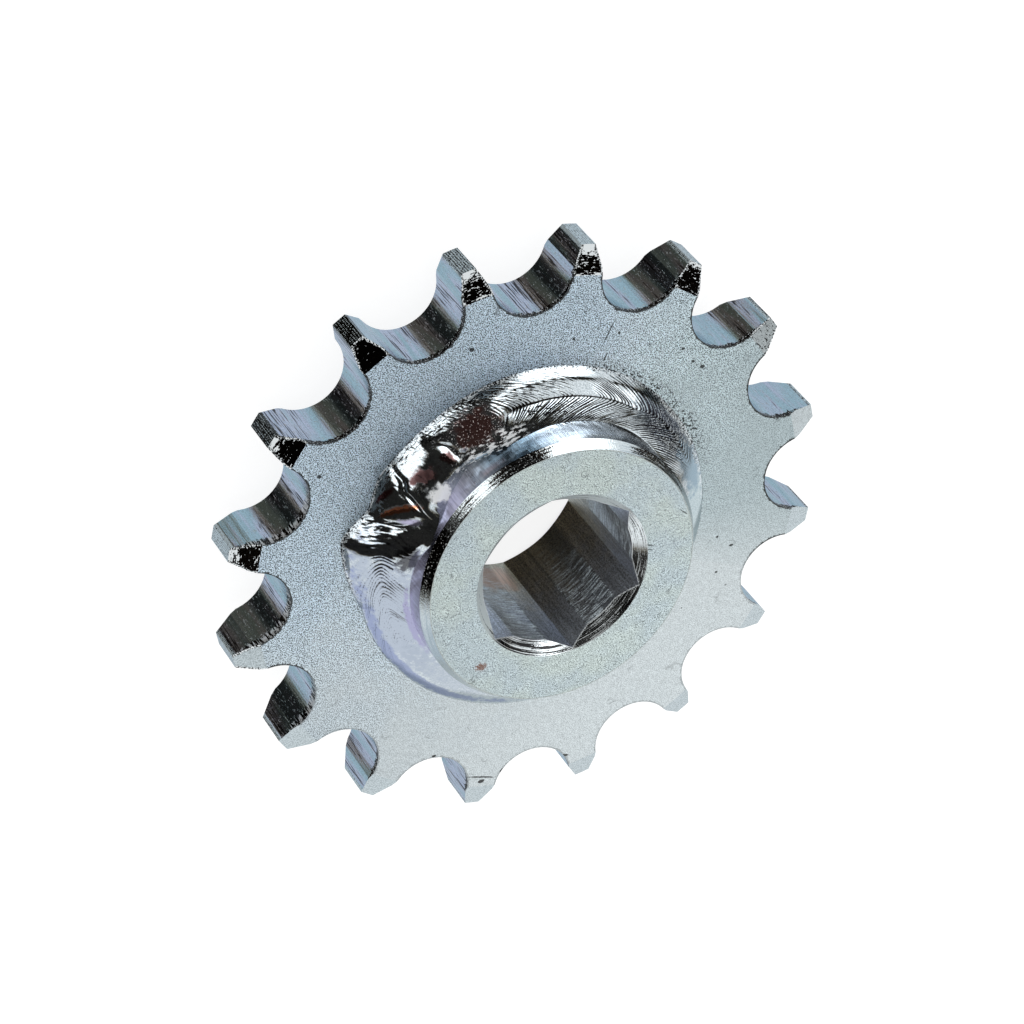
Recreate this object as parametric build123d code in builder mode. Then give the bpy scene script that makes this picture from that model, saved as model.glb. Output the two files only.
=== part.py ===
from build123d import *
import os
from math import asin, cos, pi, radians, sin

# Chain sprocket for a 12.7 mm pitch roller chain, 16 teeth. A toothed plate is slipped over a
# turned hub and welded to it by one fillet bead on the long side of the hub. The hub has a
# broached hexagonal bore. Millimetres, +Z along the shaft, origin on the axis under the hub.

# Chain and tooth form
chain_pitch = 12.7
teeth = 16
seat_radius = 4.65              # roller seat between two teeth
seat_half_angle = 73.0          # degrees of seat on each side of the bottom of the gap
crease_half_width = 1.63        # half of a tooth at the crease, on the pitch circle
topping_angle = 19.8            # degrees that the flank leans in above the crease
tip_diameter = 69.5
plate_thickness = 7.2
relief_depth = 3.0              # radial length of the cone turned on both sides of the tips
relief_width = 1.25             # how far that cone has come in at the tip

# Hub
hub_diameter = 32.0
hub_front = 7.6                 # hub above the plate, on the welded side
hub_rear = 3.4                  # hub below the plate
rim_chamfer_width = 0.65        # radial
rim_chamfer_height = 1.2        # axial
hex_across_flats = 17.0
pilot_diameter = 17.44          # drilled before the hexagon is broached
countersink_diameter = 19.96    # at both ends of the bore
countersink_angle = 90.0

# Fillet weld round the hub, by sections: degrees round the hub, leg on the plate, leg on the hub,
# and how far the face stands out of a flat one. The bead ends in two lumps over its own start.
weld_sections = [
    (0, 4.3, 2.6, 0.2),
    (30, 4.3, 1.8, 0.1),
    (60, 4.4, 1.6, 0.15),
    (85, 5.0, 2.4, 0.4),
    (110, 5.4, 3.0, 0.5),
    (130, 5.5, 4.0, 0.9),
    (145, 5.4, 2.9, 0.9),
    (156, 5.5, 4.0, 0.8),
    (167, 5.8, 5.4, 1.1),
    (177, 4.9, 6.0, 0.4),
    (187, 7.0, 4.6, 0.9),
    (198, 5.8, 3.9, 0.3),
    (212, 4.2, 3.6, 0.2),
    (240, 4.1, 3.4, 0.1),
    (270, 4.6, 3.0, 0.2),
    (300, 5.3, 2.8, 0.3),
    (330, 4.8, 2.8, 0.4),
]
weld_step = 5                   # degrees from one modelled section to the next
weld_root = 1.0                 # the bead runs this far past its toes, then is trimmed to both faces

# Worked out from the sizes above
full_turn = 360
half_turn = full_turn // 2
gap_step = 2 * pi / teeth
pitch_radius = chain_pitch / (2 * sin(pi / teeth))
tip_radius = tip_diameter / 2
hub_radius = hub_diameter / 2
hub_length = hub_rear + plate_thickness + hub_front
plate_bottom = hub_rear
plate_top = plate_bottom + plate_thickness
standing = (Align.CENTER, Align.CENTER, Align.MIN)


def on_hub(angle):
    """Plane through the axis at an angle in degrees, its X outwards and its Y up."""
    outwards = Vector(cos(radians(angle)), sin(radians(angle)), 0)
    return Plane(origin=(0, 0, 0), x_dir=outwards, z_dir=outwards.cross(Vector(0, 0, 1)))


def weld_size(angle):
    """Plate leg, hub leg and crown of the bead at an angle, eased between its sections."""
    last_angle, *last_size = weld_sections[-1]
    first_angle, *first_size = weld_sections[0]
    before = (last_angle - full_turn, *last_size)
    after = (first_angle + full_turn, *first_size)
    ring = [before, *weld_sections, after]
    for (start, *start_size), (end, *end_size) in zip(ring, ring[1:]):
        if start <= angle <= end:
            share = (1 - cos(pi * (angle - start) / (end - start))) / 2
            return [a + (b - a) * share for a, b in zip(start_size, end_size)]


def weld_section(angle):
    """Section of the bead, with its crowned face run on past the toes into plate and hub."""
    plate_leg, hub_leg, crown = weld_size(angle)
    toe = Vector(hub_radius + plate_leg, plate_top)
    top = Vector(hub_radius, plate_top + hub_leg)
    down_the_face = (toe - top).normalized()
    out_of_the_face = Vector(hub_leg, plate_leg).normalized()
    low = toe + down_the_face * weld_root
    high = top - down_the_face * weld_root
    with BuildSketch(on_hub(angle)) as section:
        with BuildLine():
            Bezier(low, (toe + top) / 2 + out_of_the_face * 2 * crown, high)
            Polyline(high, (high.X, low.Y), low)
        make_face()
    return section.sketch


# Space between two teeth: roller seat, working flank up to the crease, and a steeper topping flank
crease_bearing = gap_step / 2 - asin(crease_half_width / pitch_radius)
crease = Vector(pitch_radius * cos(crease_bearing), pitch_radius * sin(crease_bearing))
topping_bearing = gap_step / 2 + radians(topping_angle)
topping = Vector(cos(topping_bearing), sin(topping_bearing))
past_tip = crease + topping * (tip_radius - pitch_radius + seat_radius)
with BuildSketch() as tooth_gap:
    with BuildLine():
        seat = CenterArc((pitch_radius, 0), seat_radius, 180 - seat_half_angle, seat_half_angle)
        Polyline(seat @ 0, crease, past_tip, (past_tip.X, 0))
        mirror(about=Plane.XZ)
    make_face()

# Toothed plate: a turned blank with relieved tips, bored for the hub, then cut into teeth
with BuildPart() as toothed_plate:
    with BuildSketch(Plane.XZ):
        with BuildLine():
            Polyline(
                (hub_radius, plate_bottom),
                (tip_radius - relief_depth, plate_bottom),
                (tip_radius, plate_bottom + relief_width),
                (tip_radius, plate_top - relief_width),
                (tip_radius - relief_depth, plate_top),
                (hub_radius, plate_top),
                close=True,
            )
        make_face()
    revolve(axis=Axis.Z)
    with BuildSketch(Plane.XY.offset(plate_bottom)):
        with PolarLocations(0, teeth):
            add(tooth_gap.sketch)
    extrude(amount=plate_thickness, mode=Mode.SUBTRACT)

# Hub: turned bar with chamfered rims, drilled, countersunk at both ends and broached
with BuildPart() as hub:
    with BuildSketch(Plane.XZ):
        with BuildLine():
            Polyline(
                (0, 0),
                (hub_radius - rim_chamfer_width, 0),
                (hub_radius, rim_chamfer_height),
                (hub_radius, hub_length - rim_chamfer_height),
                (hub_radius - rim_chamfer_width, hub_length),
                (0, hub_length),
                close=True,
            )
        make_face()
    revolve(axis=Axis.Z)
    with Locations(Plane.XY.offset(hub_length), -Plane.XY):
        CounterSinkHole(
            radius=pilot_diameter / 2,
            counter_sink_radius=countersink_diameter / 2,
            depth=hub_length,
            counter_sink_angle=countersink_angle,
        )
    with BuildSketch(Plane.XY):
        RegularPolygon(radius=hex_across_flats / 2, side_count=6, major_radius=False)
    extrude(amount=hub_length, mode=Mode.SUBTRACT)

# Weld bead: two lofts, each half way round the hub, trimmed to the hub and to the plate
with BuildPart() as weld_bead:
    for start in (0, half_turn):
        for angle in range(start, start + half_turn + 1, weld_step):
            add(weld_section(angle))
        loft(ruled=True)
    Cylinder(hub_radius, hub_length, align=standing, mode=Mode.SUBTRACT)
    Cylinder(tip_radius, plate_top, align=standing, mode=Mode.SUBTRACT)

toothed_plate.part.label = "toothed_plate"
hub.part.label = "hub"
weld_bead.part.label = "weld_bead"

os.makedirs("parts", exist_ok=True)
export_step(toothed_plate.part, "parts/toothed_plate.step")
export_step(hub.part, "parts/hub.step")
export_step(weld_bead.part, "parts/weld_bead.step")
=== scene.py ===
import math

import bpy
import numpy as np
from mathutils import Euler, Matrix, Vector


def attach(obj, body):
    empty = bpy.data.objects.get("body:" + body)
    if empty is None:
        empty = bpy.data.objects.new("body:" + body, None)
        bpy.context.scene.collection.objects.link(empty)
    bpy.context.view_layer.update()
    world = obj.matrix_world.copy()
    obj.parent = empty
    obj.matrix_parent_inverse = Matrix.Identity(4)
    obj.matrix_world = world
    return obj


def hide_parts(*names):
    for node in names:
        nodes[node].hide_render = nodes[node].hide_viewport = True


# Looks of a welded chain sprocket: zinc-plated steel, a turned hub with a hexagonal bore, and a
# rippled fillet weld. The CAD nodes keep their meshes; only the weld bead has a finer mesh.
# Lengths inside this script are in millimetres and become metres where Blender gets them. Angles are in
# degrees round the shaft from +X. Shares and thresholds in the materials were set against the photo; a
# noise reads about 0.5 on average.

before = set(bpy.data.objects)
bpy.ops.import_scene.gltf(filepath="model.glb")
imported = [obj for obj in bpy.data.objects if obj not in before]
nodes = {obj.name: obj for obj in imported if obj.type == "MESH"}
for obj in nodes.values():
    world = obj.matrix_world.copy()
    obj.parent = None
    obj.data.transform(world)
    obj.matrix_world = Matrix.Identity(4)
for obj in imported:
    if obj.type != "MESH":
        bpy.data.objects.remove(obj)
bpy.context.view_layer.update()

MM = 0.001

HUB_RADIUS = 16.0
HUB_TOP = 18.2
CHAMFER_WIDTH = 0.65
PLATE_BOTTOM = 3.4
PLATE_TOP = 10.6
HEX_APOTHEM = 8.5
FIRST_FLAT, FLAT_STEP = 30.0, 60.0      # bearings of the hexagon's flats
PILOT_RADIUS = 8.72
SINK_RADIUS = 9.98
TIP_RADIUS = 34.75
RELIEF_RADIUS = 31.75
# Gap between two teeth: its seat, then the straight flank from the crease outwards
GAP_STEP = 22.5
PITCH_RADIUS = 32.55
SEAT_RADIUS = 4.65
CREASE_OUT, CREASE_ACROSS = -0.35, 4.744
FLANK_BEARING = 31.05

BURR_BLACK = (0.02, 0.018, 0.015)
# white of the bore's edge burr, partly a painted glint
BURR_AND_GLINT_WHITE = (0.80, 0.84, 0.86)

# Single marks of the faces: x, y, half-length, half-width, bearing
PLATE_MARKS = [
    (-16.20, 20.83, 0.26, 0.22, 0),
    (11.90, 23.00, 0.26, 0.20, 20),
    (10.48, 23.44, 0.19, 0.17, 0),
    (22.80, 3.11, 0.16, 0.14, 0),
    (25.03, 2.36, 0.24, 0.12, 20),
    (24.60, -1.18, 0.15, 0.13, 0),
    (-28.00, 4.10, 0.22, 0.20, 0),
    (-1.05, 25.35, 1.40, 0.07, 85),
    (-0.27, 22.35, 0.40, 0.08, 85),
    (0.22, 25.30, 0.17, 0.15, 0),
    (-4.89, 23.77, 0.17, 0.15, 0),
    (8.68, 24.68, 0.15, 0.14, 0),
    (5.80, -29.96, 1.70, 0.08, 5),
    (5.92, -30.48, 0.42, 0.22, 30),
    (8.00, -28.84, 0.26, 0.16, 60),
    (-1.26, -27.83, 0.24, 0.14, 20),
    (15.11, -26.20, 0.40, 0.14, 10),
    (17.26, -27.47, 0.45, 0.12, -20),
]
HUB_MARKS = [
    (8.75, 4.90, 0.75, 0.07, 5),
    (9.20, 4.40, 0.35, 0.06, 10),
    (11.45, 9.33, 0.60, 0.05, -20),
    (-13.72, -7.85, 0.16, 0.14, 0),
]
HUB_RUST = (-5.36, -11.94, 0.55, 0.40, 20)


# ---------------------------------------------------------------- node trees
class Tree:
    """A node tree written as expressions: each call adds a node and gives its output."""

    def __init__(self, tree):
        self.tree = tree
        tree.nodes.clear()

    def node(self, kind, inputs=None, **settings):
        made = self.tree.nodes.new(kind)
        for key, value in settings.items():
            setattr(made, key, value)
        for key, value in (inputs or {}).items():
            self.feed(made.inputs[key], value)
        return made

    def feed(self, socket, value):
        if isinstance(value, bpy.types.NodeSocket):
            self.tree.links.new(value, socket)
        elif socket.type == "RGBA" and len(value) == 3:
            socket.default_value = (*value, 1.0)
        else:
            socket.default_value = value

    def math(self, operation, *values):
        return self.node("ShaderNodeMath", dict(enumerate(values)), operation=operation).outputs[0]

    def chain(self, operation, first, *others):
        """An operation carried on through several values."""
        for other in others:
            first = self.math(operation, first, other)
        return first

    def add(self, *values):
        return self.chain("ADD", *values)

    def times(self, *values):
        return self.chain("MULTIPLY", *values)

    def most(self, *values):
        return self.chain("MAXIMUM", *values)

    def less(self, a, b):
        return self.math("SUBTRACT", a, b)

    def far(self, a, b):
        """Length of the side opposite a right angle."""
        return self.math("SQRT", self.add(self.times(a, a), self.times(b, b)))

    def step(self, value, low, high, start=0.0, end=1.0):
        """Eased step from start to end as value goes from low to high."""
        inputs = {"Value": value, "From Min": low, "From Max": high, "To Min": start, "To Max": end}
        return self.node("ShaderNodeMapRange", inputs, interpolation_type="SMOOTHSTEP").outputs[0]

    def fall(self, value, low, high):
        """Eased fall from 1 to 0 as value goes from low to high."""
        return self.step(value, low, high, 1.0, 0.0)

    def band(self, value, low, high, soft):
        """1 between low and high, falling to 0 over soft on each side."""
        return self.times(
            self.step(value, low - soft, low + soft), self.fall(value, high - soft, high + soft)
        )

    def swing(self, noise, width):
        """A noise made to swing round 0."""
        return self.times(self.less(noise, 0.5), width)

    def mix(self, share, a, b):
        inputs = {"Factor": share, 6: a, 7: b}
        return self.node("ShaderNodeMix", inputs, data_type="RGBA").outputs[2]

    def tone(self, colour, factor):
        """A colour made lighter or darker by a value."""
        return self.node("ShaderNodeVectorMath", {0: colour, "Scale": factor}, operation="SCALE").outputs[0]

    def stretch(self, where, x, y, z):
        inputs = {0: where, 1: (x, y, z)}
        return self.node("ShaderNodeVectorMath", inputs, operation="MULTIPLY").outputs[0]

    def join(self, x, y, z):
        return self.node("ShaderNodeCombineXYZ", {0: x, 1: y, 2: z}).outputs[0]

    def split(self, vector):
        return self.node("ShaderNodeSeparateXYZ", {0: vector}).outputs

    def noise(self, where, scale, detail=2.0, roughness=0.5):
        inputs = {"Vector": where, "Scale": scale, "Detail": detail, "Roughness": roughness}
        return self.node("ShaderNodeTexNoise", inputs).outputs[0]

    def dots(self, where, scale, share, size):
        """1 inside sparse round dots, which a share of a scattered pattern's cells hold."""
        cell = self.node("ShaderNodeTexVoronoi", {"Vector": where, "Scale": scale}).outputs
        chance = self.split(cell["Color"])[0]
        inside = self.fall(cell["Distance"], size * 0.6, size)
        return self.times(inside, self.step(chance, 1 - share, 1 - share + 0.01))


class Surface(Tree):
    """A metal surface: the places on it in millimetres and degrees, and its finish."""

    def __init__(self, name):
        self.material = bpy.data.materials.new(name)
        self.material.use_nodes = True
        super().__init__(self.material.node_tree)
        place = self.node("ShaderNodeTexCoord").outputs["Object"]
        self.mm = self.tone(place, 1 / MM)
        self.x, self.y, self.z = self.split(self.mm)
        self.radius = self.far(self.x, self.y)
        self.turn = self.math("DEGREES", self.math("ARCTAN2", self.y, self.x))
        self.full_turn = self.math("WRAP", self.turn, 360.0, 0.0)
        self.facing = self.split(self.node("ShaderNodeNewGeometry").outputs["True Normal"])[2]
        self.steep = self.math("ABSOLUTE", self.facing)
        self.front = self.step(self.facing, -0.5, 0.5)

    def sector(self, first, last, soft):
        """1 between two angles of 0 to 360 degrees, falling to 0 over soft on each side."""
        return self.band(self.full_turn, first, last, soft)

    def sectors(self, table):
        """The greatest of several sectors, each given with its strength at the end."""
        return self.most(*[self.times(self.sector(*place), strength) for *place, strength in table])

    def drawn(self, pace, scale, detail, roughness=0.5):
        """Noise drawn out along the shaft: the smaller its pace, the longer its streaks."""
        return self.noise(self.stretch(self.mm, 1, 1, pace), scale, detail, roughness)

    def turned(self, pace, scale, detail, roughness=0.5):
        """Noise drawn out round the shaft, at a pace for each degree."""
        where = self.join(self.radius, self.times(self.turn, pace), self.z)
        return self.noise(where, scale, detail, roughness)

    def hairlines(self, scale, share):
        """1 on sparse thin curved lines."""
        line = self.math("ABSOLUTE", self.less(self.noise(self.mm, scale, 1.0), 0.5))
        chosen = self.step(self.noise(self.mm, scale * 1.7, 1.0), 0.60 - share, 0.64 - share)
        return self.times(self.fall(line, 0.006, 0.016), chosen)

    def mark(self, x, y, half_length, half_width, bearing, ragged):
        """1 on one mark of a face."""
        dx, dy = self.less(self.x, x), self.less(self.y, y)
        cosine, sine = math.cos(math.radians(bearing)), math.sin(math.radians(bearing))
        along = self.add(self.times(dx, cosine / half_length), self.times(dy, sine / half_length))
        across = self.less(self.times(dy, cosine / half_width), self.times(dx, sine / half_width))
        return self.fall(self.add(self.far(along, across), ragged), 0.9, 1.3)

    def marks(self, table, ragged):
        """1 on single marks of the front."""
        return self.times(self.most(*[self.mark(*row, ragged) for row in table]), self.front)

    def finish(self, roughness, *zones):
        """Metal made of zones, the first one under the others. Each has its share of the surface,
        a colour, a height in millimetres and a share of dust, which isn't metal."""
        colour = zones[0][1]
        for share, over, _, _ in zones[1:]:
            colour = self.mix(share, colour, over)
        height = self.add(*[self.times(share, height) for share, _, height, _ in zones])
        dust = self.add(*[self.times(share, dust) for share, _, _, dust in zones])
        bump = self.node("ShaderNodeBump", {"Height": height, "Distance": MM, "Strength": 1.0})
        inputs = {
            "Base Color": colour,
            "Roughness": roughness,
            "Normal": bump.outputs[0],
            "Metallic": self.less(1.0, dust),
        }
        shader = self.node("ShaderNodeBsdfPrincipled", inputs).outputs[0]
        self.node("ShaderNodeOutputMaterial", {"Surface": shader})
        return self.material


# ---------------------------------------------------------------- plate
# Face colours with painted light: lit towards the lamp, shaded and bluer away from it
FACE_LAMP_LIT, FACE_SHADED_BLUE = (0.53, 0.57, 0.58), (0.345, 0.41, 0.46)
FACE_RIGHT = (0.365, 0.43, 0.445)
# painted shade beside the weld, tinted blue
FACE_SHADE_BY_WELD = (0.17, 0.24, 0.33)
FACE_MARKS = (0.02, 0.018, 0.016)
TOWARDS_LAMP = (0.82, -0.57)            # direction towards the lamp, in which painted lamp light makes the face paler
WALL_BLUE, WALL_VIOLET = (0.50, 0.66, 0.71), (0.66, 0.68, 0.79)
WALL_LINES = (0.015, 0.013, 0.012)
WALL_STROKES = (0.46, 0.40, 0.32)
WALL_DUST = (0.62, 0.64, 0.65)
LAND_PALE, LAND_DARK = (0.66, 0.76, 0.79), (0.02, 0.017, 0.014)
LAND_MARK_STEP = 0.55
CONE_PALE, CONE_WORN, CONE_BRIGHT = (0.55, 0.61, 0.63), (0.022, 0.018, 0.015), (0.80, 0.85, 0.87)
TIP_SOFT = 1.0                          # degrees over which one tip's finish gives way to the next
# Lands that are cleaner or darker than the others: from and to which degrees
CLEAN_LANDS = [(67.5, 112.5), (180.0, 292.5)]
DARK_LANDS = (135.0, 180.0)
# Tips whose relief is battered: between which degrees, how dark, and how white inside and outside
BATTERED_TIPS = [
    (45.0, 67.5, 0.30, 0.0, 0.0),
    (67.5, 90.0, 1.0, 0.45, 0.66),
    (90.0, 112.5, 1.0, 0.50, 1.70),
    (112.5, 135.0, 1.0, 0.45, 1.20),
    (135.0, 157.5, 1.0, 0.0, 0.30),
    (157.5, 180.0, 1.0, 0.15, 0.90),
    (180.0, 202.5, 0.9, 0.30, 1.05),
]
MATT_TIPS = (22.5, 67.5)


def gap_edge(s):
    """Distance over a face from the nearest gap between teeth."""
    bearing = s.math("RADIANS", s.math("WRAP", s.turn, GAP_STEP / 2, -GAP_STEP / 2))
    out = s.less(s.times(s.radius, s.math("COSINE", bearing)), PITCH_RADIUS)
    across = s.math("ABSOLUTE", s.times(s.radius, s.math("SINE", bearing)))
    seat = s.less(s.far(out, across), SEAT_RADIUS)
    lean = math.radians(FLANK_BEARING)
    past_crease = s.times(s.less(across, CREASE_ACROSS), math.cos(lean))
    flank = s.less(past_crease, s.times(s.less(out, CREASE_OUT), math.sin(lean)))
    flank = s.most(flank, s.less(CREASE_OUT, out))
    return s.math("MINIMUM", seat, flank)


def plated_face(s, coarse):
    """Blasted and plated face with painted lamp light: paler towards the lamp, and bluer, darker and more
    speckled away from it; painted shade beside the weld.
    """
    grain = s.noise(s.mm, 8.5, 1.0)
    across = s.add(s.times(s.x, TOWARDS_LAMP[0]), s.times(s.y, TOWARDS_LAMP[1]))
    # Painted lamp light: the face darkens and turns bluer away from the lamp
    away_from_lamp = s.fall(s.add(across, s.swing(s.noise(s.mm, 0.16, 3.0), 30.0)), -26.0, 22.0)
    right = s.sector(8.0, 80.0, 16.0)
    # Painted shade: darker and bluer just outside the weld's toe, between about 100 and 172 degrees
    shade_beside_weld = s.times(s.fall(s.radius, 21.2, 25.0), s.sector(100.0, 172.0, 14.0), s.front)
    colour = s.mix(s.times(right, 0.9), s.mix(away_from_lamp, FACE_LAMP_LIT, FACE_SHADED_BLUE), FACE_RIGHT)
    colour = s.mix(s.times(shade_beside_weld, 0.3), colour, FACE_SHADE_BY_WELD)
    # Painted shade: the dark speckle grows stronger and the black dots denser away from the lamp
    contrast = s.add(s.step(away_from_lamp, 0.0, 1.0, 0.18, 0.95), s.times(right, 0.12))
    speckle = s.step(grain, 0.44, 0.495, -0.96, 0.85)
    colour = s.tone(colour, s.add(1.0, s.times(contrast, speckle)))
    colour = s.tone(colour, s.step(coarse, 0.3, 0.7, 0.95, 1.05))
    spatter = s.times(s.fall(s.radius, 21.2, 22.5), s.sector(38.0, 108.0, 10.0), s.front)
    black = s.most(
        s.dots(s.mm, 0.45, 0.07, 0.07),
        s.times(s.dots(s.stretch(s.mm, 1.0, 0.7, 1.0), 1.6, 0.20, 0.13), s.add(away_from_lamp, 0.1)),
        s.marks(PLATE_MARKS, s.swing(coarse, 1.5)),
        s.times(s.hairlines(0.33, 0.0), 0.25),
        s.times(spatter, s.step(s.noise(s.mm, 4.5, 1.0), 0.55, 0.60)),
    )
    colour = s.mix(s.times(black, 0.9), colour, FACE_MARKS)
    burr = s.fall(s.add(gap_edge(s), s.swing(coarse, 0.4), s.swing(grain, 0.4)), 0.15, 0.22)
    burr = s.times(burr, s.step(s.sector(2.0, 225.0, 8.0), 0.0, 1.0, 0.3, 0.9))
    return s.mix(burr, colour, BURR_BLACK), s.times(grain, 0.03), 0.0


def gap_wall(s, grain, coarse):
    """Cut wall of a gap: clean, with clusters of fine marks, and a burr along its front edge."""
    fine = s.drawn(0.035, 6.0, 1.0)
    broad = s.drawn(0.10, 0.8, 2.0)
    lines = s.times(s.fall(fine, 0.43, 0.47), s.step(broad, 0.54, 0.60))
    colour = s.mix(s.step(broad, 0.40, 0.60), WALL_BLUE, WALL_VIOLET)
    colour = s.tone(colour, s.step(fine, 0.35, 0.65, 0.95, 1.04))
    colour = s.tone(colour, s.step(grain, 0.30, 0.60, 0.86, 1.08))
    colour = s.mix(s.times(lines, 0.9), colour, WALL_LINES)
    strokes = s.step(s.drawn(0.25, 7.0, 1.0), 0.58, 0.63)
    strokes = s.times(strokes, s.step(coarse, 0.40, 0.65, 0.02, 0.36))
    colour = s.mix(strokes, colour, WALL_STROKES)
    behind = s.less(PLATE_TOP, s.z)
    ragged = s.add(behind, s.swing(coarse, 1.3), s.swing(grain, 0.9))
    comb = s.step(s.drawn(0.12, 4.5, 1.0), 0.50, 0.56)
    combed = s.times(s.sector(175.0, 240.0, 10.0), s.fall(ragged, 0.9, 1.2))
    colour = s.mix(s.times(combed, s.less(1.0, comb)), colour, BURR_BLACK)
    colour = s.mix(s.fall(ragged, 0.48, 0.56), colour, BURR_BLACK)
    dust = s.most(
        s.times(s.fall(behind, 0.5, 0.8), s.step(grain, 0.60, 0.66)),
        s.times(combed, comb, 0.8),
        s.dots(s.mm, 2.6, 0.16, 0.15),
    )
    colour = s.mix(s.times(dust, 0.9), colour, WALL_DUST)
    height = s.add(s.times(fine, 0.010), s.times(broad, 0.05), s.times(grain, 0.010))
    return colour, height, s.most(dust, strokes)


def tip_land(s, grain):
    """Outside of a tip, crossed by fine marks, clean on some tips and dark on others."""
    arc = s.times(s.turn, math.radians(TIP_RADIUS))
    wave_a = s.math("SINE", s.times(s.add(arc, s.z), 2 * math.pi / LAND_MARK_STEP))
    wave_b = s.math("SINE", s.times(s.less(arc, s.z), 2 * math.pi / LAND_MARK_STEP))
    crossed = s.add(s.times(wave_a, wave_b), s.swing(grain, 4.0))
    clean = s.most(*[s.sector(*place, TIP_SOFT) for place in CLEAN_LANDS])
    dark = s.sector(*DARK_LANDS, TIP_SOFT)
    cleaner = s.less(s.times(clean, 0.6), s.times(dark, 0.7))
    shown = s.step(s.add(crossed, cleaner), -0.12, 0.08)
    return s.mix(shown, LAND_DARK, LAND_PALE), s.times(crossed, 0.012), s.times(shown, 0.5)


def tip_cone(s, grain, coarse):
    """Turned relief of a tip: battered dark and white on one side, smooth and pale on the other."""
    out = s.times(s.less(s.radius, RELIEF_RADIUS), 1 / (TIP_RADIUS - RELIEF_RADIUS))
    outside, inside = s.math("POWER", out, 3.0), s.math("POWER", s.less(1.0, out), 3.0)
    darks, whites = [], []
    for first, last, dark_share, white_inside, white_outside in BATTERED_TIPS:
        there = s.sector(first, last, TIP_SOFT)
        white_share = s.add(s.times(inside, white_inside), s.times(outside, white_outside))
        darks.append(s.times(there, dark_share))
        whites.append(s.times(there, white_share))
    dark, white = s.most(*darks), s.most(*whites)
    streaks = s.add(s.turned(0.16, 4.4, 2.0, 0.7), s.swing(grain, 0.30))
    worn = s.step(s.less(s.add(0.22, s.times(dark, 0.6)), streaks), -0.03, 0.02)
    colour = s.mix(worn, s.tone(CONE_PALE, s.step(grain, 0.35, 0.6, 0.75, 1.05)), CONE_WORN)
    bright = s.step(s.add(streaks, s.times(white, 0.44)), 0.71, 0.75)
    frayed = s.add(s.radius, s.swing(coarse, 0.9))
    rim = s.times(s.step(frayed, TIP_RADIUS - 0.36, TIP_RADIUS - 0.16), s.step(grain, 0.49, 0.54))
    bright = s.times(s.most(bright, rim), s.step(dark, 0.3, 0.5))
    burr = s.fall(s.add(gap_edge(s), s.swing(coarse, 0.6)), 0.16, 0.26)
    burr = s.times(burr, s.sector(45.0, 225.0, 4.0))
    colour = s.mix(burr, colour, BURR_BLACK)
    bright = s.most(s.times(bright, s.less(1.0, burr)), s.times(burr, s.step(grain, 0.47, 0.53)))
    colour = s.mix(bright, colour, CONE_BRIGHT)
    matt = s.times(s.less(1.0, s.most(worn, burr)), s.sector(*MATT_TIPS, TIP_SOFT))
    height = s.add(s.times(streaks, 0.03), s.times(grain, 0.004))
    return colour, height, s.most(s.times(bright, 0.9), s.times(matt, 0.65))


def plate_steel():
    s = Surface("plate_steel")
    flat = s.step(s.steep, 0.96, 0.98)
    cone = s.band(s.steep, 0.55, 0.97, 0.01)
    wall = s.fall(s.steep, 0.3, 0.4)
    land = s.times(wall, s.step(s.radius, TIP_RADIUS - 0.5, TIP_RADIUS - 0.3))
    grain = s.noise(s.mm, 6.5, 1.0)
    coarse = s.noise(s.mm, 1.7, 2.0)
    return s.finish(
        s.step(flat, 0.0, 1.0, 0.17, 0.5),
        (s.less(wall, land), *gap_wall(s, grain, coarse)),
        (cone, *tip_cone(s, grain, coarse)),
        (land, *tip_land(s, grain)),
        (flat, *plated_face(s, coarse)),
    )


# ---------------------------------------------------------------- hub
HUB_FACE_WARM, HUB_FACE_COLD = (0.42, 0.475, 0.46), (0.39, 0.45, 0.47)
HUB_FACE_EDGE = (0.30, 0.30, 0.27)
HUB_FACE_MARKS = (0.02, 0.02, 0.02)
RUST = (0.16, 0.06, 0.03)
TURNED_DARK, TURNED_PALE = (0.68, 0.74, 0.84), (0.80, 0.85, 0.92)
RIM_BURNT, RIM_BRIGHT = (0.03, 0.024, 0.020), (0.70, 0.75, 0.76)
RIM_SPECKS = (0.50, 0.51, 0.50)
SINK_MATT, SINK_BRIGHT, SINK_DARK = (0.50, 0.56, 0.57), (0.78, 0.82, 0.83), (0.03, 0.03, 0.03)
BORE_FRONT, BORE_BACK = (0.46, 0.49, 0.56), (0.50, 0.45, 0.35)
BORE_RUST = (0.62, 0.40, 0.30)
BORE_SCORES = (0.82, 0.93, 0.98)
# Tints on the hub's wall by the weld: from and to which degrees, softness, strength, tint. The lavender
# one, where it is made matt between 149 and 168 degrees, is a painted highlight.
HUB_TINTS = [
    (117.0, 143.0, 7.0, 0.85, (0.17, 0.27, 0.36)),
    (150.0, 245.0, 9.0, 0.80, (0.50, 0.48, 0.70)),
]
# Where that wall is matt, which between 149 and 168 degrees makes a painted highlight of its lavender tint,
# and where the rim's chamfer is burnt: degrees, softness, strength
HUB_MATT_AND_HIGHLIGHT = [(149.0, 168.0, 6.0, 0.70), (136.0, 149.0, 4.0, 0.30), (184.0, 245.0, 8.0, 0.45)]
RIM_BURNS = [
    (44.0, 84.0, 7.0, 0.54),
    (115.0, 147.0, 8.0, 0.56),
    (147.0, 166.0, 4.0, 0.43),
    (166.0, 196.0, 6.0, 0.68),
]


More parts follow.
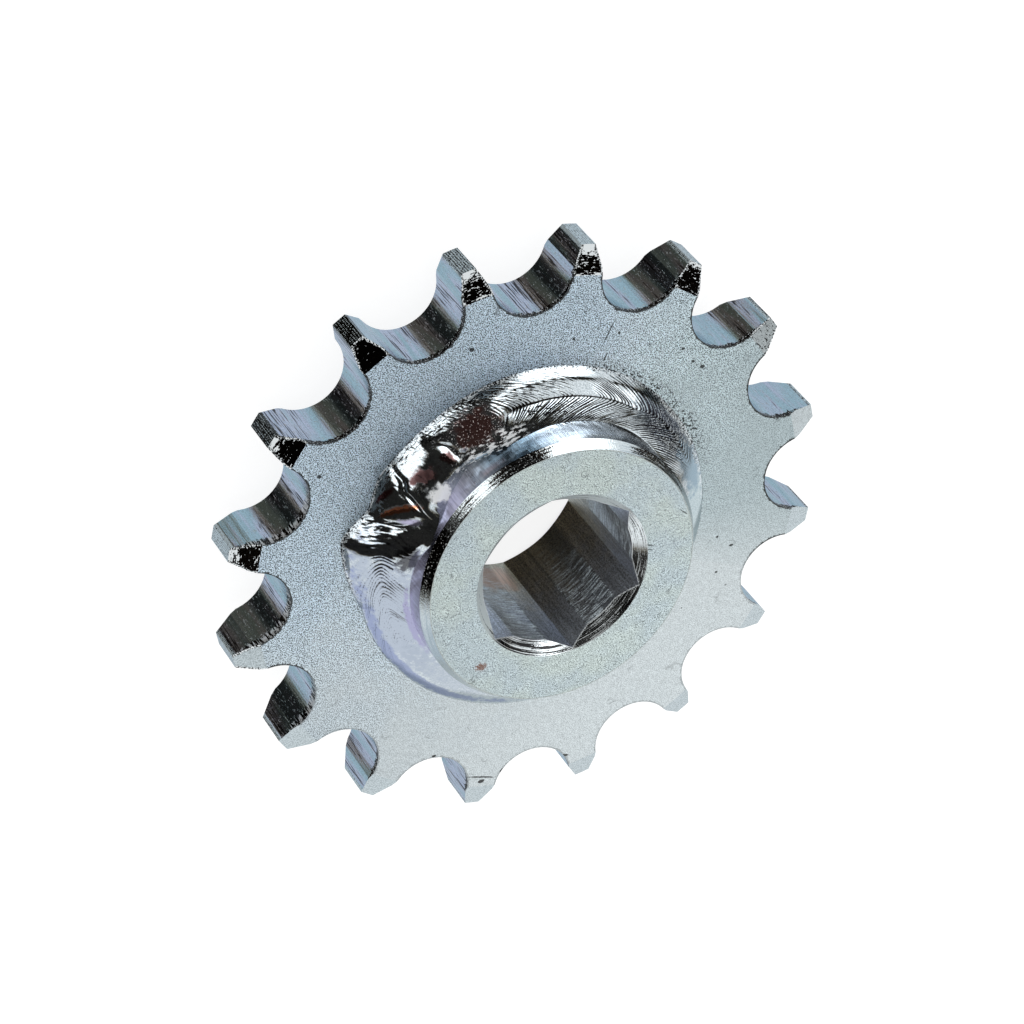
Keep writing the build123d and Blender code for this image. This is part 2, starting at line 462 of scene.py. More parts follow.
def hub_face(s):
    """Faced end, faintly yellow in places, with hairlines and single marks."""
    grain = s.noise(s.mm, 8.8, 1.0)
    coarse = s.noise(s.mm, 1.2, 3.0)
    scores = s.turned(0.004, 4.2, 3.0, 0.7)
    colour = s.mix(s.step(s.noise(s.mm, 0.2, 2.0), 0.35, 0.65), HUB_FACE_WARM, HUB_FACE_COLD)
    contrast = s.step(coarse, 0.35, 0.65, 0.32, 0.68)
    colour = s.tone(colour, s.add(1.0, s.times(contrast, s.step(grain, 0.41, 0.53, -0.95, 0.58))))
    colour = s.tone(colour, s.step(scores, 0.3, 0.7, 0.96, 1.03))
    black = s.most(
        s.dots(s.mm, 0.5, 0.08, 0.07),
        s.marks(HUB_MARKS, s.swing(coarse, 1.5)),
        s.times(s.hairlines(0.5, 0.05), 0.4),
    )
    colour = s.mix(s.times(black, 0.85), colour, HUB_FACE_MARKS)
    colour = s.mix(s.times(s.marks([HUB_RUST], s.swing(grain, 3.0)), 0.8), colour, RUST)
    chamfer_start = HUB_RADIUS - CHAMFER_WIDTH
    edge = s.step(s.radius, chamfer_start - 0.16, chamfer_start - 0.06)
    colour = s.mix(s.times(edge, 0.45), colour, HUB_FACE_EDGE)
    return colour, s.add(s.times(grain, 0.025), s.times(scores, 0.010)), 0.0


def hub_outside(s, grain, rim):
    """Turned wall with fine marks along the axis, tinted by the weld, with a painted highlight, and the
    rim's chamfer.
    """
    welded = s.step(s.z, PLATE_BOTTOM, PLATE_TOP)
    hatch = s.drawn(0.06, 5.5, 2.0, 0.6)
    bands = s.turned(0.004, 1.4, 2.0)
    colour = s.mix(s.step(bands, 0.35, 0.65), TURNED_DARK, TURNED_PALE)
    for first, last, soft, strength, tint in HUB_TINTS:
        colour = s.mix(s.times(s.sector(first, last, soft), welded, strength), colour, tint)
    colour = s.tone(colour, s.step(hatch, 0.36, 0.62, 0.78, 1.08))
    lines = s.noise(s.join(s.times(s.radius, 2.0), s.times(s.turn, 0.02), s.z), 3.6, 2.0, 0.7)
    lines = s.add(lines, s.swing(grain, 0.5))
    burnt = s.times(s.sectors(RIM_BURNS), welded)
    chamfer = s.mix(s.step(s.less(lines, burnt), -0.03, 0.03), RIM_BURNT, RIM_BRIGHT)
    specks = s.times(rim, s.step(burnt, 0.2, 0.5), s.step(grain, 0.65, 0.71))
    colour = s.mix(s.times(specks, 0.8), s.mix(rim, colour, chamfer), RIM_SPECKS)
    # Matt lavender between 149 and 168 degrees: a painted highlight
    matt = s.times(s.sectors(HUB_MATT_AND_HIGHLIGHT), welded, s.less(1.0, rim))
    height = s.add(s.times(hatch, 0.020), s.times(bands, 0.02), s.times(rim, lines, 0.015))
    return colour, height, s.most(specks, matt)


def countersink(s, grain):
    """Fine rings, matt on one side and black and white on the other, with a white lip of burr that is
    partly a painted glint.
    """
    rings = s.add(s.turned(0.004, 9.0, 2.0), s.swing(grain, 0.25))
    matt = s.sector(62.0, 240.0, 10.0)
    scored = s.less(1.0, matt)
    black = s.add(0.37, s.times(scored, 0.05), s.times(s.sector(236.0, 300.0, 6.0), 0.12))
    pale = s.mix(scored, SINK_MATT, SINK_BRIGHT)
    colour = s.mix(s.step(s.less(rings, black), -0.02, 0.02), SINK_DARK, pale)
    bearing = s.math("WRAP", s.less(s.turn, FIRST_FLAT), FLAT_STEP / 2, -FLAT_STEP / 2)
    flat_edge = s.times(s.radius, s.math("COSINE", s.math("RADIANS", bearing)))
    edge = s.math("MINIMUM", s.less(flat_edge, HEX_APOTHEM), s.less(s.radius, PILOT_RADIUS))
    lip = s.times(s.fall(s.add(edge, s.swing(grain, 0.3)), 0.02, 0.10), 0.7)
    white = s.times(s.step(rings, 0.56, 0.60), scored, 0.45)
    dust = s.most(s.times(lip, 0.8), s.times(matt, 0.85), white)
    return s.mix(lip, colour, BURR_AND_GLINT_WHITE), s.times(rings, 0.012), dust


def bore_wall(s, grain):
    """Drilled arcs crossed by fine marks, broached flats scored along, brown at the far end."""
    drilled = s.fall(s.radius, PILOT_RADIUS + 0.03, PILOT_RADIUS + 0.08)
    along = s.drawn(0.05, 4.0, 3.0, 0.6)
    crossing = s.noise(s.join(s.times(s.turn, 0.009), 0.0, s.z), 8.0, 1.0)
    uneven = s.swing(s.noise(s.mm, 0.9, 3.0), 1.0)
    far_end = s.fall(s.add(s.z, s.times(uneven, 9.0)), 1.0, 15.0)
    colour = s.mix(far_end, BORE_FRONT, BORE_BACK)
    colour = s.tone(colour, s.step(grain, 0.36, 0.60, 0.62, 1.25))
    rust = s.band(s.add(s.z, s.times(uneven, 4.0)), 2.0, 6.0, 1.2)
    rust = s.times(s.sector(266.0, 296.0, 5.0), rust, 0.8)
    colour = s.mix(rust, colour, BORE_RUST)
    flats = s.tone(colour, s.step(along, 0.38, 0.62, 0.80, 1.15))
    near_end = s.step(s.add(s.z, s.times(uneven, 10.0)), 3.0, 12.0)
    bright = s.times(s.step(crossing, 0.50, 0.57), s.add(s.times(near_end, 0.68), 0.10))
    bright = s.times(bright, s.step(grain, 0.36, 0.50, 0.4, 1.0))
    arcs = s.mix(bright, s.tone(colour, 0.65), BORE_SCORES)
    colour = s.mix(drilled, flats, arcs)
    # White burr lip at the countersink's edge, partly a painted glint
    under_sink = s.less(s.add(s.radius, HUB_TOP - SINK_RADIUS), s.z)
    lip = s.times(s.fall(under_sink, 0.03, 0.10), s.step(grain, 0.42, 0.55))
    colour = s.mix(lip, colour, BURR_AND_GLINT_WHITE)
    height = s.add(s.times(s.mix(drilled, along, crossing), 0.02), s.times(grain, 0.004))
    return colour, height, s.most(s.times(lip, 0.7), s.times(drilled, bright), 0.13)


def hub_steel():
    s = Surface("hub_steel")
    flat = s.step(s.steep, 0.96, 0.98)
    inside = s.fall(s.radius, 11.0, 11.2)
    sunk = s.times(inside, s.band(s.steep, 0.4, 0.95, 0.02))
    bore = s.times(inside, s.fall(s.steep, 0.3, 0.4))
    outside = s.less(1.0, inside)
    rim = s.times(outside, s.band(s.steep, 0.3, 0.8, 0.05))
    grain = s.noise(s.mm, 6.5, 1.0)
    return s.finish(
        s.add(0.15, s.times(flat, 0.30), s.times(bore, 0.15)),
        (s.times(outside, s.less(1.0, flat)), *hub_outside(s, grain, rim)),
        (flat, *hub_face(s)),
        (sunk, *countersink(s, grain)),
        (bore, *bore_wall(s, grain)),
    )


# ---------------------------------------------------------------- weld metal
# A place on the bead's face: degrees, share of the way down, half-length in degrees, half-width in
# shares, and sometimes a slant in degrees per share
PAINTED_DARK_REFLECTION = (57, 0.60, 15, 0.42)           # painted dark reflection, seen between the painted highlights on the ripples' crests
SPECKLED = (138, 0.42, 12, 0.50)
# the dark red-brown patch, partly heat tint and partly painted reflection
BROWN_PATCH = (136.5, 0.44, 9, 0.30)
HAIRLINED = [(146, 0.86, 30, 0.20), (112, 0.30, 14, 0.22)]
# Painted highlights near the hub: one spot, and streaks along the bead
PAINTED_HIGHLIGHT_SPOT = (159, 0.14, 4.0, 0.15, 10)
PAINTED_HIGHLIGHT_STREAKS = (134, 0.10, 16, 0.20)
DULLED = [(158, 0.42, 4.0, 0.10, 12), (171, 0.46, 1.2, 0.22, 25), (173, 0.26, 2.0, 0.13, 14)]
# Colours painted over the plating: tint, strength and place. Most are heat tints; the dark red-browns and
# the orange streak between 136 and 172 degrees are partly heat tint and partly painted reflection, the
# near-black and dark grey round 57 to 60 degrees are painted dark reflection, and the lavender at 173
# degrees is a painted highlight.
WELD_TINTS_AND_PAINTED_REFLECTIONS = [
    ((0.47, 0.52, 0.61), 0.9, 215, 0.45, 34, 0.9),
    ((0.32, 0.37, 0.55), 0.9, 240, 0.80, 48, 0.18),
    ((0.40, 0.38, 0.58), 0.8, 218, 0.05, 17, 0.07),
    ((0.44, 0.54, 0.56), 0.6, 18, 0.75, 24, 0.30),
    ((0.14, 0.19, 0.23), 0.80, 60, 0.66, 17, 0.36),
    ((0.10, 0.16, 0.26), 0.85, 54, 0.86, 10, 0.035),
    ((0.10, 0.16, 0.26), 0.7, 60, 0.76, 7, 0.02),
    ((0.05, 0.06, 0.08), 0.85, *PAINTED_DARK_REFLECTION),
    ((0.42, 0.47, 0.55), 0.6, 252, 0.30, 25, 0.4),
    ((0.26, 0.36, 0.44), 0.75, 38, 0.72, 12, 0.30),
    ((0.05, 0.045, 0.05), 0.85, 187, 0.12, 6, 0.16),
    ((0.26, 0.10, 0.08), 0.92, 136.5, 0.44, 8.5, 0.28),
    ((0.15, 0.045, 0.04), 0.9, 158, 0.42, 4.5, 0.12, 12),
    ((0.20, 0.06, 0.05), 0.85, 149, 0.36, 2.0, 0.12, 6),
    ((0.22, 0.035, 0.03), 0.9, 170, 0.70, 1.8, 0.14, 25),
    ((0.98, 0.34, 0.16), 0.95, 172, 0.46, 1.7, 0.22, 25),
    ((0.55, 0.50, 0.72), 0.8, 173, 0.26, 1.6, 0.12, 14),
]
WELD_DARK, WELD_PALE = (0.50, 0.55, 0.58), (0.74, 0.79, 0.81)
WELD_HIGHLIGHT, WELD_BLACK = (0.95, 0.97, 0.98), (0.02, 0.02, 0.022)
WELD_SPECKS = (0.60, 0.58, 0.56)
WELD_CREST_HIGHLIGHT, WELD_GROOVE_SHADE = (0.75, 0.80, 0.82), (0.02, 0.02, 0.024)
WELD_TOE = (0.70, 0.76, 0.79)
FACE_SLOPE = 1.6                        # mean share of the plate leg over the hub leg


def weld_metal():
    """Bright plating over the weld, with heat colours that differ round the bead, and painted highlights,
    reflections and shade.
    """
    s = Surface("weld_metal")
    out = s.less(s.radius, HUB_RADIUS)
    down = s.math("DIVIDE", out, s.add(out, s.times(s.less(s.z, PLATE_TOP), FACE_SLOPE)))
    grain = s.noise(s.mm, 6.0, 2.0, 0.6)
    blots = s.noise(s.mm, 1.3, 3.0, 0.6)

    def patch(at, level, half_length, half_width, slant=0.0):
        """1 inside a blurred place on the bead's face."""
        below = s.less(down, level)
        along = s.less(s.less(s.full_turn, at), s.times(below, slant))
        away = s.far(s.math("DIVIDE", below, half_width), s.math("DIVIDE", along, half_length))
        return s.fall(s.add(away, s.swing(blots, 1.6)), 0.6, 1.15)

    colour = s.mix(s.step(grain, 0.34, 0.60), WELD_DARK, WELD_PALE)
    for tint, strength, *place in WELD_TINTS_AND_PAINTED_REFLECTIONS:
        colour = s.mix(s.times(patch(*place), strength), colour, tint)
    # Painted highlights: white, partly matt, near the hub
    streaks = s.step(s.turned(0.06, 3.2, 3.0, 0.6), 0.50, 0.54)
    white = s.most(patch(*PAINTED_HIGHLIGHT_SPOT), s.times(patch(*PAINTED_HIGHLIGHT_STREAKS), streaks))
    colour = s.mix(white, colour, WELD_HIGHLIGHT)
    specks = s.times(s.step(s.noise(s.mm, 6.5, 1.0), 0.64, 0.70), patch(*SPECKLED))
    colour = s.mix(s.times(specks, 0.8), colour, WELD_SPECKS)
    hairs = s.fall(s.turned(0.06, 5.0, 2.0, 0.7), 0.41, 0.44)
    hairs = s.times(hairs, s.most(*[patch(*place) for place in HAIRLINED]))
    colour = s.mix(hairs, colour, WELD_BLACK)
    # Painted shade: the valleys between ripples darkened to black
    groove = s.node("ShaderNodeAttribute", attribute_type="GEOMETRY", attribute_name="groove")
    deep = s.add(groove.outputs["Fac"], s.swing(grain, 1.2))
    colour = s.mix(s.step(deep, 0.18, 0.42), colour, WELD_GROOVE_SHADE)
    # Painted highlights: pale, matt ripple crests over the painted dark reflection
    crest_highlights = s.times(patch(*PAINTED_DARK_REFLECTION), s.fall(deep, -0.02, 0.06), 0.6)
    colour = s.mix(crest_highlights, colour, WELD_CREST_HIGHLIGHT)
    toe = s.step(s.add(down, s.swing(blots, 0.25), s.swing(grain, 0.35)), 0.89, 0.94)
    toe = s.times(toe, s.sector(38.0, 205.0, 10.0))
    flecks = s.step(s.noise(s.mm, 5.5, 1.0), 0.45, 0.52)
    colour = s.mix(toe, colour, s.mix(flecks, WELD_BLACK, WELD_TOE))
    dulled = s.most(*[patch(*place) for place in DULLED])
    dust = s.most(
        s.times(specks, 0.9), s.times(patch(*BROWN_PATCH), 0.08), s.times(white, 0.75), crest_highlights,
        s.times(flecks, toe, 0.6),
    )
    roughness = s.add(0.09, s.times(dulled, 0.25))
    return s.finish(roughness, (1.0, colour, s.times(grain, 0.006), dust))


# ---------------------------------------------------------------- weld bead
# Degrees round the hub, leg on the plate, leg on the hub, and how far the face stands out
WELD_SECTIONS = [
    (0, 4.3, 2.6, 0.2),
    (30, 4.3, 1.8, 0.1),
    (60, 4.4, 1.6, 0.15),
    (85, 5.0, 2.4, 0.4),
    (110, 5.4, 3.0, 0.5),
    (130, 5.5, 4.0, 0.9),
    (145, 5.4, 2.9, 0.9),
    (156, 5.5, 4.0, 0.8),
    (167, 5.8, 5.4, 1.1),
    (177, 4.9, 6.0, 0.4),
    (187, 7.0, 4.6, 0.9),
    (198, 5.8, 3.9, 0.3),
    (212, 4.2, 3.6, 0.2),
    (240, 4.1, 3.4, 0.1),
    (270, 4.6, 3.0, 0.2),
    (300, 5.3, 2.8, 0.3),
    (330, 4.8, 2.8, 0.4),
]
# Lumps and hollows of the bead: degrees, share of the way down the face, half-length in degrees,
# half-width in shares, slant in degrees per share, height
WELD_LUMPS = [
    (140, 0.08, 8, 0.12, 60, 0.22),
    (147, 0.50, 1.8, 0.35, 8, -0.42),
    (158, 0.45, 6.0, 0.28, 8, 0.35),
    (161, 0.25, 4.0, 0.16, 0, 0.38),
    (166, 0.50, 1.6, 0.35, -10, -0.32),
    (172, 0.50, 3.0, 0.30, 12, 0.10),
    (176, 0.45, 1.7, 0.40, 14, -0.28),
    (181, 0.12, 5.0, 0.07, -16, 0.25),
    (181, 0.62, 1.4, 0.08, 10, 0.10),
]
LUMP_WOBBLE = 2.2               # degrees by which the lumps' edges wander
# Ripples: degrees, share of the way down, half-length in degrees, half-width in shares, slant, height
WELD_RIPPLES = [
    (47, 0.5, 9, 0.5, 0, 0.02),
    (64, 0.45, 13, 0.45, 0, 0.07),
    (95, 0.2, 20, 0.26, 0, 0.07),
    (83, 0.65, 10, 0.3, 0, 0.04),
    (122, 0.45, 7, 0.25, 0, 0.05),
    (140, 0.45, 12, 0.5, 0, 0.018),
    (162, 0.5, 12, 0.5, 0, 0.018),
    (182, 0.5, 6, 0.5, 0, 0.03),
    (191, 0.42, 6, 0.17, 0, 0.055),
    (199, 0.45, 9, 0.42, 0, 0.026),
    (214, 0.5, 18, 0.5, 0, 0.020),
]
RIPPLE_DEEPEST = 0.07
# Rough places: degrees, share of the way down, half-length in degrees, half-width, slant, height
WELD_SPATTER = [
    (114, 0.78, 12, 0.25, 0, 0.035),
    (100, 0.97, 40, 0.10, 0, 0.03),
    (135, 0.80, 10, 0.20, 0, 0.03),
    (150, 0.03, 30, 0.08, 0, 0.03),
    (140, 0.93, 26, 0.12, 0, 0.035),
    (62, 0.30, 12, 0.4, 0, 0.012),
    (180, 0.80, 8, 0.2, 0, 0.03),
]
# Where two runs lie side by side: degrees, and how much of the face they make up
TWO_RUNS = [(0, 0), (62, 0), (74, 1), (118, 1), (128, 0), (360, 0)]
RUN_SEAM = 0.45                 # share of the way down at which the two runs meet
UPPER_RUN, LOWER_RUN = 0.15, 0.62    # how far each stands out
LOWER_SHOULDER = 0.60           # share of the way across the lower run at which it bends down
SHOULDER_POWER = 5              # the higher, the sharper that bend
LAP_END = 187.4                 # degrees at which the closing run ends on top of the first one
LAP_HEIGHT, LAP_RISE, LAP_FALL = 0.25, 5.0, 1.0
# The ripples' arcs: degrees, share of the way down at their crest, and how many degrees per share
# they run back above and below it
RIPPLE_ARCS = [
    (20, 0.66, 30, 40),
    (60, 0.64, 34, 40),
    (75, 0.46, 42, 50),
    (108, 0.46, 42, 50),
    (125, 0.48, 20, 20),
    (150, 0.50, 8, 8),
    (184, 0.45, 5, 5),
    (192, 0.42, 22, 42),
    (230, 0.42, 25, 48),
    (300, 0.50, 30, 40),
]
RIPPLE_STEP = 1.6               # degrees from one ripple to the next
RIPPLE_JITTER = 0.5             # share of that step by which it wanders
RIPPLE_MEAN, RIPPLE_SWING, RIPPLE_LEAST = 0.75, 0.8, 0.1    # their strength along the bead
RIPPLE_LEVEL = 0.6              # share of a ripple's height that lies below the face
CREST_ROUND = 0.06              # half-width in shares over which an arc turns round at its crest
EDGE_RISE = 9                   # the higher, the sooner lumps and ripples rise from the bead's edges
SECTION_SOFT, ARC_SOFT = 3.0, 4.0    # degrees over which the tables' values are softened
TINY = 1e-6
# Noises over the bead's face: cells round it and across it, and the seed
PHASE_NOISE = ((120, 4), 7)
STRENGTH_NOISE = ((150, 6), 9)
ROUGH_NOISE = ((600, 30), 10)
WANDER_NOISE = ((75, 4), 11)
WELD_TURNS = 1800               # points round the bead
WELD_ROWS = 48                  # points across its face
ROOT = 0.4                      # the bead's mesh runs this far into hub and plate


def value_noise(shape, cells, seed):
    """Smooth random values from -1 to 1 on a grid that closes on itself round the bead."""
    random = np.random.default_rng(seed)
    grid = random.uniform(-1, 1, (cells[0], cells[1] + 1))
    u = np.arange(shape[0])[:, None] / shape[0] * cells[0]
    v = np.arange(shape[1])[None, :] / (shape[1] - 1) * (cells[1] - TINY)
    i, j = u.astype(int), v.astype(int)
    fu, fv = u - i, v - j
    fu, fv = fu * fu * (3 - 2 * fu), fv * fv * (3 - 2 * fv)
    i2 = (i + 1) % cells[0]
    low = grid[i, j] * (1 - fu) + grid[i2, j] * fu
    high = grid[i, j + 1] * (1 - fu) + grid[i2, j + 1] * fu
    return low * (1 - fv) + high * fv


def softened(values, half):
    """Values round the bead, each a mean of its neighbours within some degrees."""
    reach = int(half / 360 * values.shape[-1])
    weights = np.hanning(2 * reach + 3)[1:-1]
    weights /= weights.sum()
    return sum(w * np.roll(values, k - reach, -1) for k, w in enumerate(weights))


def round_the_bead(table, turns, half):
    """Columns of a table that starts with degrees, read at any turns and softened."""
    even = np.linspace(0, 360, WELD_TURNS, endpoint=False)
    angles, *columns = np.array(table, float).T
    smooth = [softened(np.interp(even, angles, column, period=360), half) for column in columns]
    return [np.interp(turns, even, column, period=360) for column in smooth]


def mound(turns, downs, at, level, half_length, half_width, slant, power=2):
    """1 at one place of the bead's face, easing to 0 round it."""
    along = (turns - at - slant * (downs - level) + 180) % 360 - 180
    return np.exp(-np.abs(along / half_length) ** power - np.abs((downs - level) / half_width) ** power)


def strongest(turns, downs, table):
    """At each place the greatest height that a table of places gives."""
    return np.max([row[-1] * mound(turns, downs, *row[:-1], power=4) for row in table], axis=0)


def bulge(turns, downs, crown):
    """How far the face stands out: one rounded run, or two that meet in a seam."""
    one_run = 4 * downs * (1 - downs) * crown
    upper = np.clip(downs / RUN_SEAM, 0, 1)
    lower = np.clip((downs - RUN_SEAM) / (1 - RUN_SEAM), 0, 1)
    rise, fall = lower / LOWER_SHOULDER, (1 - lower) / (1 - LOWER_SHOULDER)
    rounded = (rise + TINY) ** -SHOULDER_POWER + (fall + TINY) ** -SHOULDER_POWER
    shoulder = 1 / rounded ** (1 / SHOULDER_POWER)
    two_runs = 4 * upper * (1 - upper) * UPPER_RUN + shoulder * LOWER_RUN
    (part,) = round_the_bead(TWO_RUNS, turns, ARC_SOFT)
    return one_run * (1 - part) + two_runs * part


def weld_arcs():
    """Turn and share of the way down of every point, in rows that follow the ripples."""
    start, downs = np.meshgrid(
        np.linspace(0, 360, WELD_TURNS, endpoint=False), np.linspace(0, 1, WELD_ROWS), indexing="ij"
    )
    crest, above, below = round_the_bead(RIPPLE_ARCS, start, ARC_SOFT)
    reach = np.where(downs < crest, above, below)
    back = reach * (np.hypot(downs - crest, CREST_ROUND) - CREST_ROUND)
    return start, start + back, downs


def weld_face():
    """Points of the bead's open face, and how deep each lies between two ripples."""
    start, turns, downs = weld_arcs()
    plate_leg, hub_leg, crown = round_the_bead(WELD_SECTIONS, turns, SECTION_SOFT)
    shape = turns.shape
    phase = start / RIPPLE_STEP + RIPPLE_JITTER * value_noise(shape, *PHASE_NOISE)
    wave = np.abs(np.sin(np.pi * phase))
    strength = RIPPLE_MEAN + RIPPLE_SWING * value_noise(shape, *STRENGTH_NOISE)
    strength = np.clip(strength, RIPPLE_LEAST, None)
    rippling = strength * strongest(turns, downs, WELD_RIPPLES)
    rough = value_noise(shape, *ROUGH_NOISE) * strongest(turns, downs, WELD_SPATTER)
    wandering = turns + LUMP_WOBBLE * value_noise(shape, *WANDER_NOISE)
    lift = np.sum([row[-1] * mound(wandering, downs, *row[:-1]) for row in WELD_LUMPS], axis=0)
    past = start - LAP_END
    lap = np.exp(-((past / np.where(past < 0, LAP_RISE, LAP_FALL)) ** 2))
    lift += LAP_HEIGHT * lap * 4 * downs * (1 - downs) + (wave - RIPPLE_LEVEL) * rippling + rough
    edge = np.clip(downs * (1 - downs) * EDGE_RISE, 0, 1)
    lift = lift * edge * edge * (3 - 2 * edge) + bulge(turns, downs, crown)
    slope = np.hypot(plate_leg, hub_leg)
    radius = HUB_RADIUS + plate_leg * downs + lift * hub_leg / slope
    height = PLATE_TOP + hub_leg * (1 - downs) + lift * plate_leg / slope
    groove = (1 - wave) * rippling / RIPPLE_DEEPEST
    return turns, radius, height, groove


def weld_bead():
    """Closed ring with the rippled face, its root inside hub and plate."""
    turns, radius, height, groove = weld_face()
    inner, under = HUB_RADIUS - ROOT, PLATE_TOP - ROOT
    first, last = slice(0, 1), slice(-1, None)
    turns = np.concatenate([turns, turns[:, last], turns[:, last], turns[:, first]], 1)
    edge = np.full_like(radius[:, last], inner)
    radius = np.concatenate([radius, radius[:, last], edge, edge], 1)
    floor_line = np.full_like(edge, under)
    height = np.concatenate([height, floor_line, floor_line, height[:, first]], 1)
    groove = np.pad(groove, ((0, 0), (0, 3)))
    angle = np.radians(turns)
    points = np.stack([radius * np.cos(angle), radius * np.sin(angle), height], 2)
    rows = points.shape[1]
    i, j = np.meshgrid(np.arange(WELD_TURNS), np.arange(rows), indexing="ij")
    i2, j2 = (i + 1) % WELD_TURNS, (j + 1) % rows
    quads = np.stack([i * rows + j, i * rows + j2, i2 * rows + j2, i2 * rows + j], 2).reshape(-1, 4)
    mesh = bpy.data.meshes.new("weld_bead_rippled")
    mesh.from_pydata((points.reshape(-1, 3) * MM).tolist(), [], quads.tolist())
    mesh.attributes.new("groove", "FLOAT", "POINT").data.foreach_set("value", groove.ravel())
    mesh.shade_smooth()
    mesh.update()
    bead = bpy.data.objects.new("weld_bead_rippled", mesh)
    bpy.context.scene.collection.objects.link(bead)
    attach(bead, "root")
    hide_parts("weld_bead")
    return bead


def paint(piece, material):
    piece.data.materials.clear()
    piece.data.materials.append(material)


paint(nodes["toothed_plate"], plate_steel())
paint(nodes["hub"], hub_steel())
bead = weld_bead()
paint(bead, weld_metal())


# ---------------------------------------------------------------- floor, light and camera
FLOOR_HALF = 3000.0
FLOOR_DEPTH = 0.02
FLOOR_GREY = (0.30, 0.30, 0.30)
FLOOR_GLOW = 0.84
LAMP_AIM = (16, -11, PLATE_TOP)
LAMP_PLACE = (80, -56, 101)
LAMP_SIZE = 90.0
LAMP_POWER = 0.022
# The room that metal reflects, in degrees: bearing, half-width, softness, lowest and highest rise
# and their softness
DARK_PANES = [(22, 13, 5, -20, 58, 5), (42, 24, 6, 37, 68, 5), (3, 12, 5, 22, 46, 5)]
WINDOW = (80, 19, 4, -8, 36, 5)
GLOW = (72, 14, 4, 30, 44, 4)
STRIP = (153, 14, 4, 0, 32, 4)
DARK_SIDE = (-0.840, 0.339, 0.423)      # towards the unlit side of the room
ROOM_BELOW, ROOM_ABOVE = (0.84, 0.97, 1.10), (0.97, 1.0, 1.02)
ROOM_DARK, ROOM_DIM = (1.0, 0.95, 0.88), (1.0, 0.84, 0.58)
WHITE = (1.0, 1.0, 1.0)
SENSOR_WIDTH, LENS = 36.0, 143.81
CLIP_NEAR, CLIP_FAR = 0.02, 20.0        # metres
CAMERA_PLACE = (-234.621, 166.764, 340.120)
CAMERA_ANGLES = (-33.5056, -24.5180, 22.5457)


def floor():
    """Pale floor that metal doesn't reflect, brightened for the camera."""
    half = FLOOR_HALF * MM
    corners = [(x * half, y * half, -FLOOR_DEPTH * MM) for x, y in ((-1, -1), (1, -1), (1, 1), (-1, 1))]
    mesh = bpy.data.meshes.new("floor")
    mesh.from_pydata(corners, [], [(0, 1, 2, 3)])
    made = bpy.data.objects.new("floor", mesh)
    bpy.context.scene.collection.objects.link(made)
    made.visible_glossy = False
    material = bpy.data.materials.new("floor")
    material.use_nodes = True
    t = Tree(material.node_tree)
    seen = t.node("ShaderNodeLightPath").outputs["Is Camera Ray"]
    pale = t.node("ShaderNodeBsdfDiffuse", {"Color": FLOOR_GREY}).outputs[0]
    glow = {"Color": WHITE, "Strength": t.times(seen, FLOOR_GLOW)}
    lit = t.node("ShaderNodeEmission", glow).outputs[0]
    both = t.node("ShaderNodeAddShader", {0: pale, 1: lit}).outputs[0]
    t.node("ShaderNodeOutputMaterial", {"Surface": both})
    made.data.materials.append(material)


def lamp():
    """Soft box near the object, which the matt faces see best at their nearest side."""
    made = bpy.data.lights.new("lamp", "AREA")
    made.shape, made.size, made.energy = "SQUARE", LAMP_SIZE * MM, LAMP_POWER
    box = bpy.data.objects.new("lamp", made)
    aim, place = Vector(LAMP_AIM) * MM, Vector(LAMP_PLACE) * MM
    box.location = place
    box.rotation_euler = (aim - place).to_track_quat("-Z", "Y").to_euler()
    box.visible_camera = False
    bpy.context.scene.collection.objects.link(box)


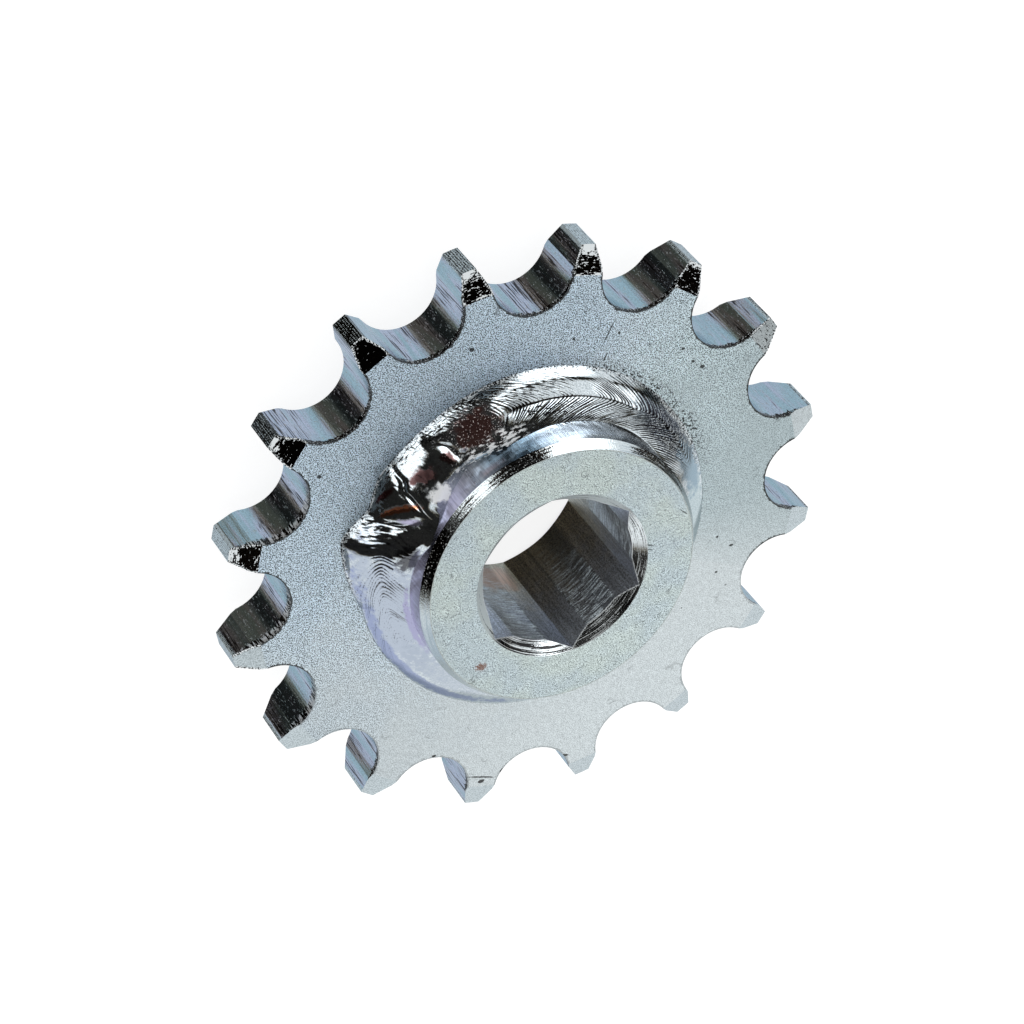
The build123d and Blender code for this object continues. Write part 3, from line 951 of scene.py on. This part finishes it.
def studio():
    """Even white light. Metal sees a pale room with one window and a dark side."""
    world = bpy.data.worlds.new("studio")
    bpy.context.scene.world = world
    world.use_nodes = True
    t = Tree(world.node_tree)
    place = t.node("ShaderNodeTexCoord").outputs["Generated"]
    x, y, z = t.split(place)
    turn = t.math("DEGREES", t.math("ARCTAN2", y, x))
    rise = t.math("DEGREES", t.math("ARCSINE", z))

    def side(bearing, half, soft):
        """1 inside an upright stripe of the room."""
        off = t.math("ABSOLUTE", t.math("WRAP", t.less(turn, bearing), 180.0, -180.0))
        return t.fall(off, half - soft, half + soft)

    def pane(bearing, half, soft, low, high, rise_soft):
        """1 inside a patch of the room."""
        return t.times(side(bearing, half, soft), t.band(rise, low, high, rise_soft))

    towards = t.node("ShaderNodeVectorMath", {0: place, 1: DARK_SIDE}, operation="DOT_PRODUCT")
    dark = t.most(
        t.times(side(158, 52, 16), t.fall(rise, 15, 35)),
        t.step(towards.outputs["Value"], 0.04, 0.28),
        *[pane(*patch) for patch in DARK_PANES],
    )
    window = pane(*WINDOW)
    dark = t.times(dark, t.less(1.0, window))
    above = t.step(rise, -16, -6)
    brown = t.times(side(136, 17, 8), t.fall(rise, -35, -25))
    black = t.step(side(150, 18, 16), 0.0, 1.0, 0.015, 0.008)
    level = t.add(
        t.times(t.less(1.0, dark), t.step(above, 0.0, 1.0, 0.6, 1.0)),
        t.times(dark, t.add(black, t.times(brown, 0.070))),
        t.times(window, 2.0),
        t.times(pane(*GLOW), 0.4),
        t.times(pane(*STRIP), 1.8),
    )
    unlit = t.mix(t.step(level, 0.03, 0.12), ROOM_DARK, ROOM_DIM)
    seen = t.mix(t.step(level, 0.15, 0.5), unlit, t.mix(above, ROOM_BELOW, ROOM_ABOVE))
    path = t.node("ShaderNodeLightPath").outputs
    glossy = t.most(path["Is Glossy Ray"], path["Is Transmission Ray"])
    plain = t.node("ShaderNodeBackground", {"Color": WHITE, "Strength": 1.0}).outputs[0]
    room = t.node("ShaderNodeBackground", {"Color": seen, "Strength": level}).outputs[0]
    both = t.node("ShaderNodeMixShader", {0: glossy, 1: plain, 2: room}).outputs[0]
    t.node("ShaderNodeOutputWorld", {"Surface": both})


def camera():
    made = bpy.data.cameras.new("camera")
    made.sensor_width, made.lens = SENSOR_WIDTH, LENS
    made.clip_start, made.clip_end = CLIP_NEAR, CLIP_FAR
    eye = bpy.data.objects.new("camera", made)
    eye.location = [place * MM for place in CAMERA_PLACE]
    eye.rotation_euler = Euler([math.radians(angle) for angle in CAMERA_ANGLES])
    bpy.context.scene.collection.objects.link(eye)
    bpy.context.scene.camera = eye


floor()
lamp()
studio()
camera()
bpy.context.scene.view_settings.view_transform = "Standard"
